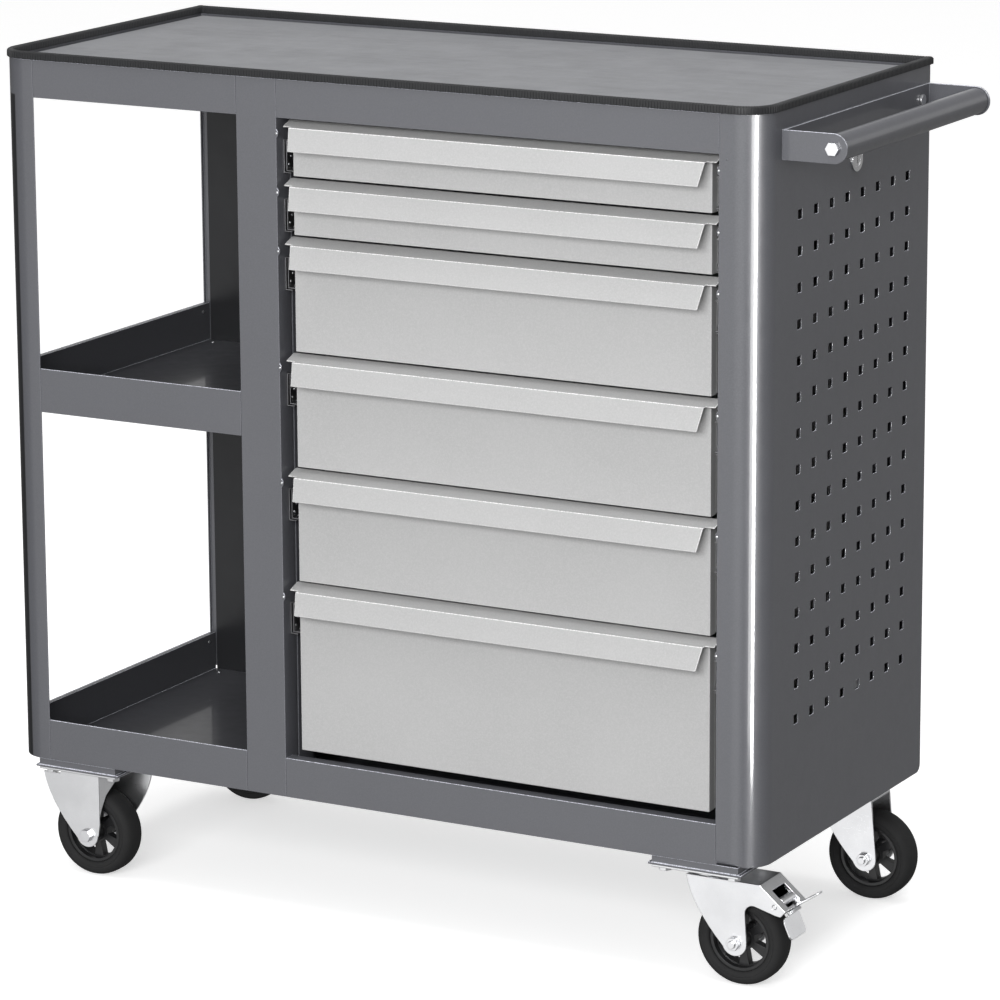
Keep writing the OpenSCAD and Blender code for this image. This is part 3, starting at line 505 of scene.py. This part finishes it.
def details():
    """Pop rivets, catch pins, slide rivets and stop lugs, and a low dimple on the right post."""
    def at(name, x, y, z, axis, r, h, node, slot=None):
        dome(name, (x, y, z), axis, r, h, NODE_BODY[node], slot or NODE_SLOT[node])

    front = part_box("divider_panel")[0].y
    for n in DRAWERS:
        low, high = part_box("drawer_front_%d" % n)
        mid_low, mid_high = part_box("mid_rails_%d" % n)
        mid_z = (mid_low.z + mid_high.z) / 2
        for side, out, x, mid_x in (("left", 1, low.x, mid_low.x), ("right", -1, high.x, mid_high.x)):
            node = "divider_panel" if out > 0 else "right_side_panel"
            at("catch_pin_%s_%d" % (side, n), x - out * 4.9 * MM, front, high.z - 13 * MM,
               (0, -1, 0), 1.4, 0.9, node, "zinc_steel")
            for k, (dy, dz) in enumerate(((4, 8), (9, -1), (4.5, -9))):
                at("slide_rivet_%s_%d_%d" % (side, n, k), mid_x + out * 1.2 * MM,
                   mid_low.y + dy * MM, mid_z + dz * MM,
                   (out, 0, 0), 1.5, 0.8, "mid_rails_%d" % n, "zinc_steel")
            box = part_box("drawer_box_%d" % n)
            edge = box[0].x if out > 0 else box[1].x
            at("stop_lug_%s_%d" % (side, n), edge + out * 6.6 * MM, box[0].y + 1.2 * MM, mid_z - 11.5 * MM,
               (0, -1, 0), 1.9, 3.4, "drawer_box_%d" % n, "slide_steel")
    for tray in ("middle_tray", "bottom_tray"):
        low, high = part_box(tray)
        floor_z = low.z + (4.8 if tray == "middle_tray" else 1.5) * MM
        spots = ((low.x + 18 * MM, high.y - 14 * MM), (high.x - 16 * MM, high.y - 14 * MM),
                 (high.x - 16 * MM, high.y - 60 * MM), (high.x - 30 * MM, high.y - 12 * MM))
        for k, (x, y) in enumerate(spots):
            at("%s_rivet_%d" % (tray, k), x, y, floor_z, (0, 0, 1), 1.8, 0.8, tray, "zinc_steel")
        at(tray + "_rim_rivet", low.x + 5.3 * MM, high.y - 14 * MM, high.z - 9 * MM,
           (1, 0, 0), 1.8, 0.8, tray, "zinc_steel")
    low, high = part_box("right_side_panel")
    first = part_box("drawer_front_1")[1]
    at("post_dimple", low.x + 11 * MM, front, first.z - 1 * MM, (0, -1, 0), 1.3, 0.4, "right_side_panel")
    rivets, end_gap = 6, 40 * MM
    for side, x, node in (("left", frame_low.x + 11 * MM, "left_side_frame"),
                          ("right", high.x - 11 * MM, "right_side_panel")):
        for k in range(rivets):
            z = low.z + end_gap + k * (high.z - low.z - 2 * end_gap) / (rivets - 1)
            at("rear_rivet_%s_%d" % (side, k), x, high.y, z, (0, 1, 0), 2.4, 0.9, node)


# edge radius in mm, and the nodes that have it
EDGE_RADII = {0.7: ["divider_panel"],
              0.35: ["right_side_panel"],
              0.6: ["left_side_frame", "top_rail_left", "top_rail_right", "cabinet_floor", "middle_tray",
                    "bottom_tray", "worktop_tray", "rear_panel", "slide_uprights", "caster_pads",
                    "worktop_mat", "handle_bracket", "lock_housing"],
              0.8: ["drawer_front_%d" % n for n in DRAWERS],
              0.5: ["fixed_forks", "swivel_plates", "swivel_fork_front", "swivel_fork_rear", "kingpins",
                    "brake_lever"],
              0.4: ["lock_bar", "lock_guides", "caster_bolts", "handle_bolts", "fixed_axles",
                    "swivel_axle_front", "swivel_axle_rear", "cabinet_rails"] + ["hub_" + w for w in WHEELS],
              0.3: ["mid_rails_%d" % n for n in DRAWERS],
              0.2: ["lock_plug"]}
for radius, nodes in EDGE_RADII.items():
    for node in nodes:
        rounded(node, radius, 3 if radius >= 0.6 else 2)
for n in DRAWERS:
    rounded_drawer("drawer_box_%d" % n, radius=0.4, runner_depth=8.8)
edge_trim()
handle_tube()
details()
for wheel in WHEELS:
    tyre("tyre_" + wheel)


# ------------------------------------------------------------------ floor, light and camera

# the floor shines by itself and isn't mirrored: the sky's lower half gives the light that it would send up
FLOOR_HALF = 30
floor_mesh = bpy.data.meshes.new("floor")
floor_mesh.from_pydata([(x * FLOOR_HALF, y * FLOOR_HALF, 0) for x, y in ((-1, -1), (1, -1), (1, 1), (-1, 1))],
                       [], [(0, 1, 2, 3)])
floor = bpy.data.objects.new("floor", floor_mesh)
bpy.context.scene.collection.objects.link(floor)
floor_mat, _, floor_bsdf = shader("floor_pale")
floor_bsdf.inputs["Base Color"].default_value = (0.80, 0.80, 0.80, 1)
floor_bsdf.inputs["Roughness"].default_value = 0.9
floor_bsdf.inputs["Emission Color"].default_value = (1, 1, 1, 1)
floor_bsdf.inputs["Emission Strength"].default_value = 0.55
floor.visible_diffuse = False
floor.visible_glossy = False
floor_mesh.materials.append(floor_mat)

world = bpy.data.worlds.new("studio")
bpy.context.scene.world = world
world.use_nodes = True
sky = world.node_tree
sky.nodes["Background"].inputs["Color"].default_value = (1, 1, 1, 1)
direction = sky.nodes.new("ShaderNodeTexCoord")
split = sky.nodes.new("ShaderNodeSeparateXYZ")
sky.links.new(direction.outputs["Generated"], split.inputs[0])


def sky_ramp(output, at_minus, at_plus, low=-1.0, high=1.0):
    """Brightness at_minus up to low, at_plus from high on, and a straight change between them."""
    ramp = sky.nodes.new("ShaderNodeMapRange")
    ramp.inputs["From Min"].default_value = low
    ramp.inputs["From Max"].default_value = high
    ramp.inputs["To Min"].default_value = at_minus
    ramp.inputs["To Max"].default_value = at_plus
    sky.links.new(output, ramp.inputs["Value"])
    return ramp.outputs["Result"]


def sky_mix(factor, a, b):
    """a where the factor is 0, b where it is 1."""
    node = sky.nodes.new("ShaderNodeMix")
    node.data_type = "FLOAT"
    for value, socket in ((factor, node.inputs[0]), (a, node.inputs[2]), (b, node.inputs[3])):
        sky.links.new(value, socket)
    return node.outputs[0]


turned = sky.nodes.new("ShaderNodeVectorRotate")
turned.rotation_type = "Z_AXIS"
turned.inputs["Angle"].default_value = math.radians(12)
sky.links.new(direction.outputs["Generated"], turned.inputs["Vector"])
turned_split = sky.nodes.new("ShaderNodeSeparateXYZ")
sky.links.new(turned.outputs[0], turned_split.inputs[0])


def sky_steps(output, stops):
    """Brightness along a smooth curve through stops of (position, brightness)."""
    ramp = sky.nodes.new("ShaderNodeValToRGB")
    ramp.color_ramp.interpolation = "B_SPLINE"
    while len(ramp.color_ramp.elements) < len(stops):
        ramp.color_ramp.elements.new(0.5)
    for element, (at, value) in zip(ramp.color_ramp.elements, stops):
        element.position = at
        element.color = (value, value, value, 1)
    sky.links.new(output, ramp.inputs[0])
    return ramp.outputs["Color"]


# bright in front below the horizon; above it a bright band behind and a soft rise towards the top
below = times(sky, sky_ramp(turned_split.outputs["Y"], 2.3, 0.30, -0.95, -0.80),
              sky_ramp(split.outputs["X"], 0.45, 1.0, -1.0, 0.4))
behind = sky_steps(split.outputs["Z"], [(0.0, 1.6), (0.20, 1.5), (0.33, 0.20), (0.60, 0.30), (1.0, 0.85)])
ahead_of = sky_steps(split.outputs["Z"], [(0.0, 0.15), (0.35, 0.30), (0.60, 0.55), (1.0, 0.85)])
above = times(sky, sky_mix(sky_ramp(split.outputs["Y"], 0.0, 1.0, -0.15, 0.35), ahead_of, behind),
              sky_ramp(split.outputs["X"], 0.70, 1.0))
strength = sky_mix(sky_ramp(split.outputs["Z"], 0.0, 1.0, -0.04, 0.04), below, above)
sky.links.new(strength, sky.nodes["Background"].inputs["Strength"])


def softbox(name, azimuth, elevation, distance, width, height, power, diffuse=True, only=None):
    """An area light of power watts, aimed at the cart's middle from the given angles and distance."""
    light = bpy.data.lights.new(name, "AREA")
    light.shape = "RECTANGLE"
    light.size, light.size_y, light.energy = width, height, power
    box = bpy.data.objects.new(name, light)
    bpy.context.scene.collection.objects.link(box)
    a, e = math.radians(azimuth), math.radians(elevation)
    away = Vector((math.sin(a) * math.cos(e), -math.cos(a) * math.cos(e), math.sin(e)))
    box.location = Vector((0, 0, 0.5)) + away * distance
    box.rotation_mode = "QUATERNION"
    box.rotation_quaternion = away.to_track_quat("Z", "Y")
    box.visible_diffuse = diffuse
    if only:
        box.light_linking.receiver_collection = only
    box.visible_camera = False


def receiver(piece):
    """A collection that holds one piece, for a light that acts on that piece only."""
    group = bpy.data.collections.new("lit_" + piece)
    group.objects.link(bpy.data.objects[piece])
    return group


corner = receiver("right_side_panel_rounded")
softbox("key_front", azimuth=14, elevation=18, distance=4.5, width=2.6, height=1.5, power=172)
softbox("top", azimuth=0, elevation=84, distance=4.0, width=3.0, height=3.0, power=95)
softbox("strip_right", azimuth=58, elevation=8, distance=3.4, width=0.50, height=3.4, power=420,
        diffuse=False, only=corner)
softbox("strip_soft", azimuth=49, elevation=8, distance=3.5, width=0.9, height=3.4, power=130,
        diffuse=False, only=corner)

camera_data = bpy.data.cameras.new("camera")
camera_data.lens = 171.8
camera_data.sensor_width = 36
camera_data.shift_x, camera_data.shift_y = -0.05, -0.05
camera_data.clip_end = 200
camera = bpy.data.objects.new("camera", camera_data)
bpy.context.scene.collection.objects.link(camera)
# azimuth, elevation and roll
a, e, roll = math.radians(28.29), math.radians(12.81), math.radians(-0.16)
ahead = Vector((-math.sin(a) * math.cos(e), math.cos(a) * math.cos(e), -math.sin(e)))
right = Vector((math.cos(a), math.sin(a), 0))
up = right.cross(ahead)
right, up = right * math.cos(roll) + up * math.sin(roll), up * math.cos(roll) - right * math.sin(roll)
turn = Matrix((right, up, -ahead)).transposed()
camera.matrix_world = Matrix.Translation((2.463, -4.437, 1.652)) @ turn.to_4x4()
bpy.context.scene.camera = camera
bpy.context.scene.view_settings.view_transform = "Standard"
